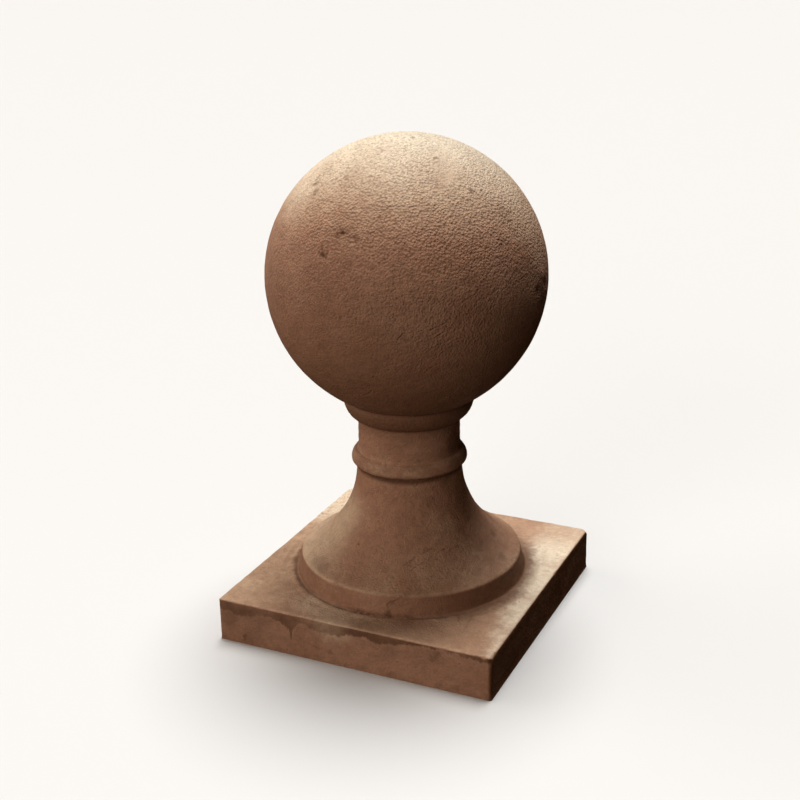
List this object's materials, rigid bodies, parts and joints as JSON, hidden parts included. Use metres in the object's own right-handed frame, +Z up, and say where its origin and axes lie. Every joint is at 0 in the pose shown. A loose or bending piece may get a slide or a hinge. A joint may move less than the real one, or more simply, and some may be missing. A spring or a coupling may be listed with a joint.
{
  "type": "ball finial",
  "caption": "Stone ball finial on a moulded stem, bell foot and square plinth, to crown a gate pier, wall end or gable.",
  "frame": {"origin": "middle of the plinth's underside, where the finial stands on its pier or wall", "axes": "+Z up along the turned axis through the ball; +X and +Y square to the plinth's sides"},
  "size_m": [0.32, 0.32, 0.5387],
  "materials": {
    "cast_stone": "matt, orange-peel texture, weathered"
  },
  "bodies": {
    "root": {"ball_finial": "cast_stone"}
  },
  "joints": []
}
